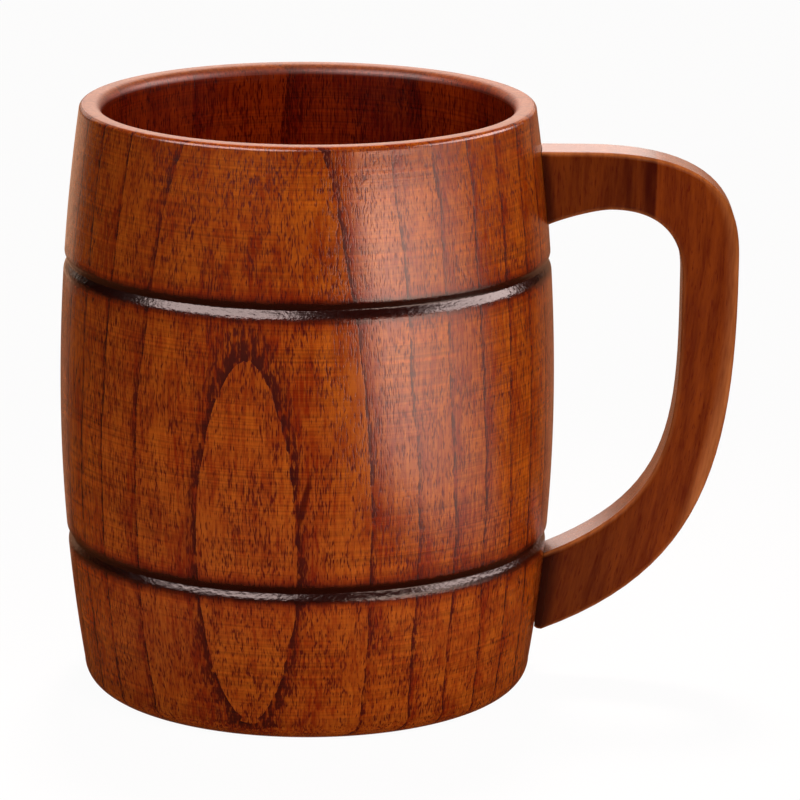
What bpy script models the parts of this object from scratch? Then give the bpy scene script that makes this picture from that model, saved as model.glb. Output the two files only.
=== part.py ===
"""A turned wooden mug: a barrel-shaped cup with a handle sawn from a board.

Lengths are in metres and +Z is up. The origin lies on the cup's axis, on the surface that the mug
stands on, and the handle points along +X.
"""

import math

import bmesh
import bpy

# Barrel: one block, turned outside and bored straight through
BARREL_HEIGHT = 0.1120
BORE_RADIUS = 0.0386
RIM_WALL = 0.0041
BELLY_WALL = 0.0082
FOOT_WALL = 0.0033
BELLY_HEIGHT = 0.0560
RIM_OUTER_ROUND = 0.0010
RIM_INNER_ROUND = 0.0005
FOOT_ROUND = 0.0046

# The most of the rim's wall that its outer and inner rounds may take
OUTER_ROUND_SHARE = 0.6
INNER_ROUND_SHARE = 0.3

# Grooves: two coves turned into the outside, one below the rim and one above the foot
GROOVE_WIDTH = 0.0040
GROOVE_DEPTH = 0.0008
UPPER_GROOVE_DROP = 0.0293
LOWER_GROOVE_HEIGHT = 0.0297

# Base disc: let into a rebate in the underside of the bore
BASE_THICKNESS = 0.0085
REBATE_STEP = 0.0010

# Handle: sawn from a board, with its edges rounded and its ends hollowed to fit the barrel
HANDLE_THICKNESS = 0.0098
HANDLE_EDGE_ROUND = 0.0012
HANDLE_TOP_DROP = 0.0083
FINGER_GAP = 0.0237
GRIP_WIDTH = 0.0106
TOP_ARM_HEIGHT = 0.0110
UPPER_END_HEIGHT = 0.0139
LOWER_END_HEIGHT = 0.0157
LOWER_END_RISE = 0.0100
OUTER_SHOULDER_LENGTH = 0.0287
OUTER_SHOULDER_DROP = 0.0226
INNER_SHOULDER_LENGTH = 0.0135
INNER_SHOULDER_DROP = 0.0127
OUTER_FOOT_SLOPE = math.radians(21.1)
INNER_FOOT_SLOPE = math.radians(22.8)
UPPER_END_SLOPE = math.radians(23.7)

# Fullness of the handle's curves: the share of a stretch that its tangents reach along
OUTER_ARM_FULLNESS = 1.04
OUTER_SHOULDER_FULLNESS = 0.36
INNER_SHOULDER_FULLNESS = 0.64
OUTER_GRIP_FULLNESS = 0.52
OUTER_FOOT_FULLNESS = 0.91
INNER_GRIP_FULLNESS = 0.53
INNER_FOOT_FULLNESS = 1.10
UPPER_END_FULLNESS = 0.25

# Dowels: one glued into each end of the handle and into a blind hole in the barrel
DOWEL_DIAMETER = 0.0050
DOWEL_SKIN = 0.0021
DOWEL_IN_HANDLE = 0.0080
DOWEL_CHAMFER = 0.0005
LOWER_DOWEL_RAISE = 0.0016

# Glue line left between pieces that touch, and how far a cutter runs past what it cuts
FIT_GAP = 0.0003
CUT_OVERRUN = 0.0040

# Points closer than this are one point
WELD_DISTANCE = 0.000001

# Facets: steps round a turned piece and a dowel, then along curves, rounds, grooves and the cope
TURN_STEPS = 72
DOWEL_STEPS = 24
CURVE_STEPS = 14
SIDE_STEPS = 6
ROUND_STEPS = 3
FOOT_STEPS = 5
GROOVE_STEPS = 6
COPE_STEPS = 24
EDGE_STEPS = 2

# Edges sharper than these stay sharp in the shading, and are chamfered on a dowel
SMOOTH_ANGLE = math.radians(35)
CHAMFER_ANGLE = math.radians(45)

# Places that several pieces share, and the rim's rounds, which its wall limits
RIM_RADIUS = BORE_RADIUS + RIM_WALL
BELLY_RADIUS = BORE_RADIUS + BELLY_WALL
FOOT_RADIUS = BORE_RADIUS + FOOT_WALL
OUTER_ROUND = min(RIM_OUTER_ROUND, OUTER_ROUND_SHARE * RIM_WALL)
INNER_ROUND = min(RIM_INNER_ROUND, INNER_ROUND_SHARE * RIM_WALL)
UPPER_GROOVE_HEIGHT = BARREL_HEIGHT - UPPER_GROOVE_DROP
REBATE_RADIUS = BORE_RADIUS + REBATE_STEP
REBATE_DEPTH = BASE_THICKNESS + FIT_GAP
HANDLE_TOP = BARREL_HEIGHT - HANDLE_TOP_DROP
GRIP_INNER = BELLY_RADIUS + FINGER_GAP
GRIP_OUTER = GRIP_INNER + GRIP_WIDTH
UPPER_DOWEL_HEIGHT = HANDLE_TOP - TOP_ARM_HEIGHT / 2
LOWER_DOWEL_HEIGHT = LOWER_END_RISE + LOWER_END_HEIGHT / 2 + LOWER_DOWEL_RAISE


def side_radius(height):
    """Radius of the barrel's side, two parabolas that meet at the belly."""
    if height > BELLY_HEIGHT:
        share = (height - BELLY_HEIGHT) / (BARREL_HEIGHT - BELLY_HEIGHT)
        return BELLY_RADIUS - (BELLY_RADIUS - RIM_RADIUS) * share ** 2
    share = (BELLY_HEIGHT - height) / BELLY_HEIGHT
    return BELLY_RADIUS - (BELLY_RADIUS - FOOT_RADIUS) * share ** 2


def arc(centre, radius, start, end, steps):
    """Points on an arc in the profile's plane, from one angle in degrees to another."""
    points = []
    for step in range(steps + 1):
        angle = math.radians(start + (end - start) * step / steps)
        points.append((centre[0] + radius * math.cos(angle), centre[1] + radius * math.sin(angle)))
    return points


def side_stretch(top, bottom):
    """Points down the barrel's side, without the two ends themselves."""
    points = []
    for step in range(1, SIDE_STEPS):
        height = top + (bottom - top) * step / SIDE_STEPS
        points.append((side_radius(height), height))
    return points


def groove(height):
    """Points down a cove of circular section, sunk into the side at one height."""
    half = GROOVE_WIDTH / 2
    radius = (half ** 2 + GROOVE_DEPTH ** 2) / (2 * GROOVE_DEPTH)
    points = []
    for step in range(GROOVE_STEPS + 1):
        offset = half * math.cos(math.pi * step / GROOVE_STEPS)
        depth = math.sqrt(radius ** 2 - offset ** 2) - (radius - GROOVE_DEPTH)
        points.append((side_radius(height + offset) - depth, height + offset))
    return points


def foot_round():
    """Points down the rounded edge of the foot, from the side to the resting plane."""
    centre = (side_radius(FOOT_ROUND) - FOOT_ROUND, FOOT_ROUND)
    return arc(centre, FOOT_ROUND, 0, -90, FOOT_STEPS)


def foot_height(radius):
    """Height of the rounded foot above the resting plane at one radius."""
    reach = max(radius - (side_radius(FOOT_ROUND) - FOOT_ROUND), 0.0)
    return FOOT_ROUND - math.sqrt(FOOT_ROUND ** 2 - reach ** 2)


def new_collection(name):
    collection = bpy.data.collections.new(name)
    bpy.context.scene.collection.children.link(collection)
    return collection


def wood(name, colour, roughness):
    """A lacquered wood: its colour as linear red, green and blue, and its roughness."""
    material = bpy.data.materials.new(name)
    material.use_nodes = True
    shader = material.node_tree.nodes["Principled BSDF"]
    shader.inputs["Base Color"].default_value = (*colour, 1.0)
    shader.inputs["Roughness"].default_value = roughness
    shader.inputs["Metallic"].default_value = 0.0
    return material


def turned(name, profile, closed, collection):
    """A profile in the XZ plane, turned once round the Z axis."""
    edges = [(index, index + 1) for index in range(len(profile) - 1)]
    if closed:
        edges.append((len(profile) - 1, 0))
    mesh = bpy.data.meshes.new(name)
    mesh.from_pydata([(radius, 0.0, height) for radius, height in profile], edges, [])
    piece = bpy.data.objects.new(name, mesh)
    collection.objects.link(piece)
    screw = piece.modifiers.new("Turn", "SCREW")
    screw.axis = "Z"
    screw.angle = math.tau
    screw.steps = TURN_STEPS
    screw.render_steps = TURN_STEPS
    screw.use_merge_vertices = True
    screw.merge_threshold = WELD_DISTANCE
    return piece


def rod(name, radius, start, end, height, collection):
    """A cylinder along X, between two places on that axis at one height."""
    bpy.ops.mesh.primitive_cylinder_add(
        vertices=DOWEL_STEPS,
        radius=radius,
        depth=end - start,
        location=((start + end) / 2, 0.0, height),
        rotation=(0.0, math.pi / 2, 0.0),
    )
    piece = bpy.context.object
    piece.name = name
    piece.data.name = name
    for holder in list(piece.users_collection):
        holder.objects.unlink(piece)
    collection.objects.link(piece)
    return piece


def as_cutter(piece):
    piece.hide_render = True
    piece.display_type = "WIRE"
    return piece


def cut(piece, cutter):
    boolean = piece.modifiers.new(cutter.name, "BOOLEAN")
    boolean.operation = "DIFFERENCE"
    boolean.object = cutter


def as_mesh(piece):
    """The mesh that an object evaluates to, with its loose caps welded."""
    bpy.context.view_layer.update()
    evaluated = piece.evaluated_get(bpy.context.evaluated_depsgraph_get())
    mesh = bpy.data.meshes.new_from_object(evaluated)
    welded = bmesh.new()
    welded.from_mesh(mesh)
    bmesh.ops.remove_doubles(welded, verts=welded.verts, dist=WELD_DISTANCE)
    welded.to_mesh(mesh)
    welded.free()
    return mesh


def finish(piece, material):
    """Settles a piece's modifiers, shades its round faces smooth and gives it its material."""
    mesh = as_mesh(piece)
    piece.modifiers.clear()
    piece.data = mesh
    mesh.name = piece.name
    mesh.shade_smooth()
    mesh.set_sharp_from_angle(angle=SMOOTH_ANGLE)
    mesh.materials.clear()
    mesh.materials.append(material)


def barrel_profile():
    """The barrel's section as one closed loop, down its outside and up its bore."""
    shoulder = BARREL_HEIGHT - OUTER_ROUND
    rim_centre = (side_radius(shoulder) - OUTER_ROUND, shoulder)
    half = GROOVE_WIDTH / 2
    profile = arc(rim_centre, OUTER_ROUND, 90, 0, ROUND_STEPS)
    profile += side_stretch(shoulder, UPPER_GROOVE_HEIGHT + half)
    profile += groove(UPPER_GROOVE_HEIGHT)
    profile += side_stretch(UPPER_GROOVE_HEIGHT - half, LOWER_GROOVE_HEIGHT + half)
    profile += groove(LOWER_GROOVE_HEIGHT)
    profile += side_stretch(LOWER_GROOVE_HEIGHT - half, FOOT_ROUND)
    profile += [point for point in foot_round() if point[0] > REBATE_RADIUS]
    profile.append((REBATE_RADIUS, foot_height(REBATE_RADIUS)))
    profile.append((REBATE_RADIUS, REBATE_DEPTH))
    profile.append((BORE_RADIUS, REBATE_DEPTH))
    lip_centre = (BORE_RADIUS + INNER_ROUND, BARREL_HEIGHT - INNER_ROUND)
    profile += arc(lip_centre, INNER_ROUND, 180, 90, ROUND_STEPS)
    return profile


def base_profile():
    """The base disc's section, from its upper face to its middle underneath."""
    edge = REBATE_RADIUS - FIT_GAP
    profile = [(0.0, BASE_THICKNESS), (edge, BASE_THICKNESS), (edge, foot_height(edge))]
    profile += [point for point in foot_round() if point[0] < edge]
    profile.append((0.0, 0.0))
    return profile


def handle_points():
    """The handle's outline as curve points, each with its place and its two tangents.

    It runs along the top and down the outside, and back up the inside of the grip. A tangent of
    None is a straight run to the next point, and both ends run on into the barrel.
    """
    upper_end = HANDLE_TOP - UPPER_END_HEIGHT
    lower_end = LOWER_END_RISE + LOWER_END_HEIGHT
    arm_underside = HANDLE_TOP - TOP_ARM_HEIGHT
    upper_x = side_radius(upper_end)
    lower_x = side_radius(lower_end)
    toe_x = side_radius(LOWER_END_RISE)
    shoulder_x = GRIP_OUTER - OUTER_SHOULDER_LENGTH
    shoulder_z = HANDLE_TOP - OUTER_SHOULDER_DROP
    arch_x = GRIP_INNER - INNER_SHOULDER_LENGTH
    arch_z = arm_underside - INNER_SHOULDER_DROP
    outer_reach = OUTER_FOOT_FULLNESS * (GRIP_OUTER - toe_x)
    inner_reach = INNER_FOOT_FULLNESS * (GRIP_INNER - lower_x)
    end_reach = UPPER_END_FULLNESS * (arch_x - upper_x)

    def along(x, z, slope, length):
        return (x + length * math.cos(slope), z + length * math.sin(slope))

    return [
        ((side_radius(HANDLE_TOP) - CUT_OVERRUN, HANDLE_TOP), None, None),
        (
            (shoulder_x, HANDLE_TOP),
            None,
            (shoulder_x + OUTER_ARM_FULLNESS * OUTER_SHOULDER_LENGTH, HANDLE_TOP),
        ),
        (
            (GRIP_OUTER, shoulder_z),
            (GRIP_OUTER, shoulder_z + OUTER_SHOULDER_FULLNESS * OUTER_SHOULDER_DROP),
            (GRIP_OUTER, shoulder_z - OUTER_GRIP_FULLNESS * (shoulder_z - LOWER_END_RISE)),
        ),
        (
            (toe_x, LOWER_END_RISE),
            along(toe_x, LOWER_END_RISE, OUTER_FOOT_SLOPE, outer_reach),
            None,
        ),
        (along(toe_x, LOWER_END_RISE, OUTER_FOOT_SLOPE, -CUT_OVERRUN), None, None),
        (along(lower_x, lower_end, INNER_FOOT_SLOPE, -CUT_OVERRUN), None, None),
        (
            (lower_x, lower_end),
            None,
            along(lower_x, lower_end, INNER_FOOT_SLOPE, inner_reach),
        ),
        (
            (GRIP_INNER, arch_z),
            (GRIP_INNER, arch_z - INNER_GRIP_FULLNESS * (arch_z - lower_end)),
            (GRIP_INNER, arch_z + INNER_SHOULDER_FULLNESS * INNER_SHOULDER_DROP),
        ),
        (
            (arch_x, arm_underside),
            (arch_x + INNER_SHOULDER_FULLNESS * INNER_SHOULDER_LENGTH, arm_underside),
            (arch_x - end_reach, arm_underside),
        ),
        (
            (upper_x, upper_end),
            along(upper_x, upper_end, UPPER_END_SLOPE, end_reach),
            None,
        ),
        (along(upper_x, upper_end, UPPER_END_SLOPE, -CUT_OVERRUN), None, None),
    ]


def handle_board(collection):
    """The handle before its ends are hollowed: a filled outline with rounded edges."""
    curve = bpy.data.curves.new("handle_outline", "CURVE")
    curve.dimensions = "2D"
    curve.fill_mode = "BOTH"
    curve.extrude = HANDLE_THICKNESS / 2 - HANDLE_EDGE_ROUND
    curve.bevel_depth = HANDLE_EDGE_ROUND
    curve.bevel_resolution = EDGE_STEPS
    curve.offset = -HANDLE_EDGE_ROUND
    curve.resolution_u = CURVE_STEPS
    curve.render_resolution_u = CURVE_STEPS
    points = handle_points()
    spline = curve.splines.new("BEZIER")
    spline.bezier_points.add(len(points) - 1)
    spline.use_cyclic_u = True
    for point, (place, tangent_in, tangent_out) in zip(spline.bezier_points, points):
        point.co = (*place, 0.0)
        point.handle_left_type = "VECTOR" if tangent_in is None else "FREE"
        point.handle_right_type = "VECTOR" if tangent_out is None else "FREE"
        if tangent_in is not None:
            point.handle_left = (*tangent_in, 0.0)
        if tangent_out is not None:
            point.handle_right = (*tangent_out, 0.0)
    outline = bpy.data.objects.new("handle_outline", curve)
    outline.rotation_euler = (math.pi / 2, 0.0, 0.0)
    collection.objects.link(outline)
    mesh = as_mesh(outline)
    board = bpy.data.objects.new("handle", mesh)
    board.matrix_world = outline.matrix_world
    collection.objects.link(board)
    bpy.data.objects.remove(outline)
    return board


def cope_profile():
    """The barrel's side, let out by the glue line and run past both ends of the barrel."""
    heights = [BARREL_HEIGHT * step / COPE_STEPS for step in range(COPE_STEPS, -1, -1)]
    profile = [(0.0, BARREL_HEIGHT + CUT_OVERRUN)]
    profile.append((RIM_RADIUS + FIT_GAP, BARREL_HEIGHT + CUT_OVERRUN))
    profile += [(side_radius(height) + FIT_GAP, height) for height in heights]
    profile.append((FOOT_RADIUS + FIT_GAP, -CUT_OVERRUN))
    profile.append((0.0, -CUT_OVERRUN))
    return profile


def dowel_ends(height):
    """Where a dowel starts inside the wall and ends inside the handle, along X."""
    face = side_radius(height)
    return BORE_RADIUS + DOWEL_SKIN, face + FIT_GAP + DOWEL_IN_HANDLE


for old in list(bpy.data.objects):
    bpy.data.objects.remove(old)

mug = new_collection("wooden_mug")
cutters = new_collection("cutters")

body_wood = wood("barrel_wood", (0.19, 0.050, 0.012), 0.35)
base_wood = wood("base_wood", (0.16, 0.042, 0.011), 0.40)
handle_wood = wood("handle_wood", (0.15, 0.034, 0.007), 0.38)
dowel_wood = wood("dowel_wood", (0.45, 0.27, 0.12), 0.60)

# The barrel, the disc that closes it and the board of the handle
barrel = turned("barrel", barrel_profile(), True, mug)
base_disc = turned("base_disc", base_profile(), False, mug)
handle = handle_board(mug)

# The handle's ends are hollowed to the barrel's side
cope = as_cutter(turned("cope", cope_profile(), False, cutters))
cut(handle, cope)

# One dowel at each end of the handle, with a blind hole for it in both pieces
for end_name, end_height in (("upper", UPPER_DOWEL_HEIGHT), ("lower", LOWER_DOWEL_HEIGHT)):
    dowel_start, dowel_end = dowel_ends(end_height)
    dowel = rod(end_name + "_dowel", DOWEL_DIAMETER / 2, dowel_start, dowel_end, end_height, mug)
    chamfer = dowel.modifiers.new("Chamfer", "BEVEL")
    chamfer.width = DOWEL_CHAMFER
    chamfer.segments = 1
    chamfer.limit_method = "ANGLE"
    chamfer.angle_limit = CHAMFER_ANGLE
    finish(dowel, dowel_wood)
    hole = as_cutter(
        rod(
            end_name + "_hole",
            DOWEL_DIAMETER / 2 + FIT_GAP,
            dowel_start - FIT_GAP,
            dowel_end + FIT_GAP,
            end_height,
            cutters,
        )
    )
    cut(barrel, hole)
    cut(handle, hole)

finish(barrel, body_wood)
finish(base_disc, base_wood)
finish(handle, handle_wood)
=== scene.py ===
import math

import bpy
from mathutils import Matrix, Vector


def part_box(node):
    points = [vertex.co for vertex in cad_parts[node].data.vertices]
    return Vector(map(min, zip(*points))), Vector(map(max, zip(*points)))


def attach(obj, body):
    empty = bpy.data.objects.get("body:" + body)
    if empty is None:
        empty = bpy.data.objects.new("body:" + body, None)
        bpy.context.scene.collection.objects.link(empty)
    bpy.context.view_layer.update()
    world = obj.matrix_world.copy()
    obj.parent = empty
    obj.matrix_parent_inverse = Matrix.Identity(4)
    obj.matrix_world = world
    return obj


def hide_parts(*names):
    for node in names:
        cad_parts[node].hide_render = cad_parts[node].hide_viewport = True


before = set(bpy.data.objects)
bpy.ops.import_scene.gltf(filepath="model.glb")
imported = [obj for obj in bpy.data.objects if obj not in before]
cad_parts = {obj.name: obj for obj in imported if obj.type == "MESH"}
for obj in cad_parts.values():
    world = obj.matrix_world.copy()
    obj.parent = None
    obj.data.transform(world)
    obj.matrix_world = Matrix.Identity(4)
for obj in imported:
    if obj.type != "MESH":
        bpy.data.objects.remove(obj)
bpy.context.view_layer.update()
bpy.ops.object.select_all(action="DESELECT")


# The barrel: one block of open-grained hardwood, turned on a lathe to a swelling side with two grooves
# in it, and bored right through. A step under the bore holds the base disc, and two blind holes at
# the right hold the handle's dowels.
MM = 0.001
TURN_STEPS = 216
WELD_DISTANCE = 0.0001 * MM
SMOOTH_ANGLE = math.radians(35)

_, barrel_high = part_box("barrel")
RIM_HEIGHT = barrel_high.z
BELLY_RADIUS = barrel_high.y
BELLY_HEIGHT = 56.0 * MM
RIM_RADIUS = 42.7 * MM
FOOT_RADIUS = 41.9 * MM
BORE_RADIUS = 38.6 * MM
RIM_OUTER_ROUND = 1.0 * MM
RIM_INNER_ROUND = 1.8 * MM
FOOT_ROUND = 4.6 * MM
SIDE_STEP = 1.5 * MM
RIM_OUTER_STEPS = 8
RIM_INNER_STEPS = 6
FOOT_STEPS = 12

GROOVE_HEIGHTS = (82.7 * MM, 29.7 * MM)
GROOVE_DEPTH = 0.8 * MM
GROOVE_TOP = 1.3 * MM
GROOVE_ROOT = 0.0
GROOVE_FOOT = -1.5 * MM
TOP_EASE = 0.35 * MM
ROOT_EASE = 0.3 * MM
FOOT_EASE = 0.7 * MM
EASE_STEPS = 6

REBATE_RADIUS = 39.6 * MM
REBATE_DEPTH = 8.8 * MM
FIT_GAP = 0.3 * MM
DOWELS = ("upper_dowel", "lower_dowel")
DOWEL_HOLE_SIDES = 48


def side_radius(height):
    """Radius of the barrel's side, two parabolas that meet at the belly."""
    if height > BELLY_HEIGHT:
        share = (height - BELLY_HEIGHT) / (RIM_HEIGHT - BELLY_HEIGHT)
        return BELLY_RADIUS - (BELLY_RADIUS - RIM_RADIUS) * share ** 2
    share = (BELLY_HEIGHT - height) / BELLY_HEIGHT
    return BELLY_RADIUS - (BELLY_RADIUS - FOOT_RADIUS) * share ** 2


def arc(centre, radius, start, end, steps):
    """Points on an arc of the section, from one angle in degrees to another."""
    angles = [math.radians(start + (end - start) * step / steps) for step in range(steps + 1)]
    return [(centre[0] + radius * math.cos(a), centre[1] + radius * math.sin(a)) for a in angles]


def side_run(top, bottom):
    """Points down the plain side between two heights, without the ends themselves."""
    steps = math.ceil((top - bottom) / SIDE_STEP)
    heights = [top + (bottom - top) * step / steps for step in range(1, steps)]
    return [(side_radius(height), height) for height in heights]


def groove(height):
    """Points down one groove: a short steep wall above a longer slope, with every corner eased."""
    above, below = GROOVE_TOP + TOP_EASE, GROOVE_FOOT - FOOT_EASE
    rises = (above, GROOVE_TOP, GROOVE_ROOT, GROOVE_FOOT, below)
    depths = (0.0, 0.0, GROOVE_DEPTH, 0.0, 0.0)
    eases = (TOP_EASE, ROOT_EASE, FOOT_EASE)
    corners = [Vector(corner) for corner in zip(rises, depths)]
    section = []
    for before, corner, after, ease in zip(corners, corners[1:], corners[2:], eases):
        start = corner + ease * (before - corner).normalized()
        end = corner + ease * (after - corner).normalized()
        for step in range(EASE_STEPS + 1):
            share = step / EASE_STEPS
            section.append(start.lerp(corner, share).lerp(corner.lerp(end, share), share))
    return [(side_radius(height + rise) - depth, height + rise) for rise, depth in section]


def foot_height(radius):
    """Height of the rounded foot above the floor at one radius."""
    reach = max(radius - (side_radius(FOOT_ROUND) - FOOT_ROUND), 0.0)
    return FOOT_ROUND - math.sqrt(FOOT_ROUND ** 2 - reach ** 2)


def turn_on_lathe(name, section, sweep=math.tau):
    """Draws a section point by point, as radius and height, and spins it round the axis."""
    bpy.ops.mesh.primitive_plane_add(size=MM, location=(section[0][0], 0.0, section[0][1]))
    piece = bpy.context.object
    piece.name = name
    piece.data.name = name
    bpy.ops.object.transform_apply()
    bpy.ops.object.mode_set(mode="EDIT")
    bpy.ops.mesh.select_mode(type="VERT")
    bpy.ops.mesh.select_all(action="SELECT")
    bpy.ops.mesh.merge(type="CENTER")
    for start, end in zip(section, section[1:]):
        step = (end[0] - start[0], 0.0, end[1] - start[1])
        bpy.ops.mesh.extrude_region_move(TRANSFORM_OT_translate={"value": step})
    bpy.ops.mesh.select_all(action="SELECT")
    bpy.ops.mesh.spin(steps=TURN_STEPS, angle=sweep, center=(0.0, 0.0, 0.0), axis=(0.0, 0.0, 1.0))
    bpy.ops.mesh.select_all(action="SELECT")
    bpy.ops.mesh.remove_doubles(threshold=WELD_DISTANCE)
    bpy.ops.mesh.normals_make_consistent(inside=False)
    bpy.ops.object.mode_set(mode="OBJECT")
    return piece


def cut_away(piece, cutter):
    """Takes one shape out of a piece and deletes the cutter."""
    boolean = piece.modifiers.new("cut", "BOOLEAN")
    boolean.operation = "DIFFERENCE"
    boolean.object = cutter
    bpy.context.view_layer.objects.active = piece
    bpy.ops.object.modifier_apply(modifier=boolean.name)
    bpy.data.objects.remove(cutter)


def bore_for_dowel(piece, node):
    """Drills a piece for one of the dowels, with a little room for glue."""
    low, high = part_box(node)
    middle = (low + high) / 2
    bpy.ops.mesh.primitive_cylinder_add(
        vertices=DOWEL_HOLE_SIDES,
        radius=(high.z - low.z) / 2 + FIT_GAP,
        depth=high.x - low.x + 2 * FIT_GAP,
        location=middle,
        rotation=(0.0, math.pi / 2, 0.0),
    )
    cut_away(piece, bpy.context.object)


def finish_piece(piece, node):
    """Shades a piece smooth, ties it to the mug, and hides the solid that it stands for."""
    bpy.ops.object.select_all(action="DESELECT")
    piece.select_set(True)
    bpy.context.view_layer.objects.active = piece
    bpy.ops.object.shade_smooth_by_angle(angle=SMOOTH_ANGLE)
    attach(piece, "root")
    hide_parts(node)


shoulder = RIM_HEIGHT - RIM_OUTER_ROUND
upper_lip = GROOVE_TOP + TOP_EASE
lower_lip = FOOT_EASE - GROOVE_FOOT
upper_groove, lower_groove = GROOVE_HEIGHTS
rim_outer_centre = (side_radius(shoulder) - RIM_OUTER_ROUND, shoulder)
rim_inner_centre = (BORE_RADIUS + RIM_INNER_ROUND, RIM_HEIGHT - RIM_INNER_ROUND)
foot_centre = (side_radius(FOOT_ROUND) - FOOT_ROUND, FOOT_ROUND)
foot_arc = arc(foot_centre, FOOT_ROUND, 0, -90, FOOT_STEPS)

barrel_section = arc(rim_outer_centre, RIM_OUTER_ROUND, 90, 0, RIM_OUTER_STEPS)
barrel_section += side_run(shoulder, upper_groove + upper_lip)
barrel_section += groove(upper_groove)
barrel_section += side_run(upper_groove - lower_lip, lower_groove + upper_lip)
barrel_section += groove(lower_groove)
barrel_section += side_run(lower_groove - lower_lip, FOOT_ROUND)
barrel_section += [point for point in foot_arc if point[0] > REBATE_RADIUS]
barrel_section.append((REBATE_RADIUS, foot_height(REBATE_RADIUS)))
barrel_section.append((REBATE_RADIUS, REBATE_DEPTH))
barrel_section.append((BORE_RADIUS, REBATE_DEPTH))
barrel_section += arc(rim_inner_centre, RIM_INNER_ROUND, 180, 90, RIM_INNER_STEPS)
barrel_section.append(barrel_section[0])

barrel = turn_on_lathe("turned_barrel", barrel_section)
for dowel_name in DOWELS:
    bore_for_dowel(barrel, dowel_name)


def linear(hex_colour):
    """A colour written as sRGB hex, as the linear red, green, blue and alpha that shaders take."""
    parts = [int(hex_colour[place:place + 2], 16) / 255 for place in (1, 3, 5)]
    light = [part / 12.92 if part <= 0.04045 else ((part + 0.055) / 1.055) ** 2.4 for part in parts]
    return (*light, 1.0)


def add(tree, kind, inputs, **settings):
    """Adds a node with its settings. An input takes a value, a socket, or a node's first live output."""
    made = tree.nodes.new(kind)
    for name, value in settings.items():
        setattr(made, name, value)
    live = [socket for socket in made.inputs if socket.enabled]
    for key, value in inputs.items():
        socket = live[key] if isinstance(key, int) else next(s for s in live if s.name == key)
        if isinstance(value, bpy.types.Node):
            value = next(output for output in value.outputs if output.enabled)
        if isinstance(value, bpy.types.NodeSocket):
            tree.links.new(value, socket)
        else:
            socket.default_value = value
    return made


def new_material(name):
    """An empty material with its shader and its tree."""
    material = bpy.data.materials.new(name)
    material.use_nodes = True
    return material, material.node_tree, material.node_tree.nodes["Principled BSDF"]


def fibres(tree, place, size, levels, detail=2.0):
    """Noise with spots of a size in mm along each axis, spread from 0 to 1 between two of its levels."""
    scaled = add(tree, "ShaderNodeVectorMath", {0: place, 1: size}, operation="DIVIDE")
    noise = add(tree, "ShaderNodeTexNoise", {"Vector": scaled, "Scale": 1.0, "Detail": detail})
    spread = {"Value": noise, "From Min": levels[0], "From Max": levels[1]}
    return add(tree, "ShaderNodeMapRange", spread, interpolation_type="SMOOTHSTEP")


# Stained elm under clear lacquer: orange-brown wood, mottled and streaked by its stain, with a dark
# band of open pores at the start of each year's growth, short pores along the grain everywhere, and
# a satin shine that the pores break up. Sizes are in mm, two across the grain and then one along it.
LACQUER_ROUGHNESS = 0.18
LACQUER_IOR = 1.5
LIGHT_WOOD = "#ab5a10"
DEEP_WOOD = "#7d2601"
PORE_WOOD = "#561201"
RING_WOOD = "#3c0700"
FULL_LEVELS = (0.0, 1.0)
SOFT_LEVELS = (0.2, 0.8)
EVEN_LEVELS = (0.25, 0.75)
CLEAR_LEVELS = (0.3, 0.7)
NOISE_MIDDLE = 0.5
CLOUD_SIZE = (4.5, 4.5, 10.0)
CLOUD_SHARE = 0.45
STRAND_SIZE = (0.5, 0.5, 6.0)
STRAND_SHARE = 0.55
FLECK_SIZE = (0.7, 0.7, 1.6)
FLECK_SHARE = 0.2
YEAR_STAIN = 0.4
YEAR_STAIN_SHARE = 0.5
BAND_FADE = 1.5
BAND_SHADE = 0.7
FAINTEST_BAND = 0.1
BREAK_SIZE = (1.0, 1.0, 2.8)
BREAK_LEVELS = (0.36, 0.56)
PORE_SIZE = (0.26, 0.26, 1.6)
PORE_LEVELS = (0.55, 0.88)
PORE_ROUGHNESS = 0.26
PORE_DEPTH = 0.012
BAND_PORES = 0.5
SCATTER_SIZE = (4.0, 4.0, 10.0)
SCATTER_PORES = 0.14


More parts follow.
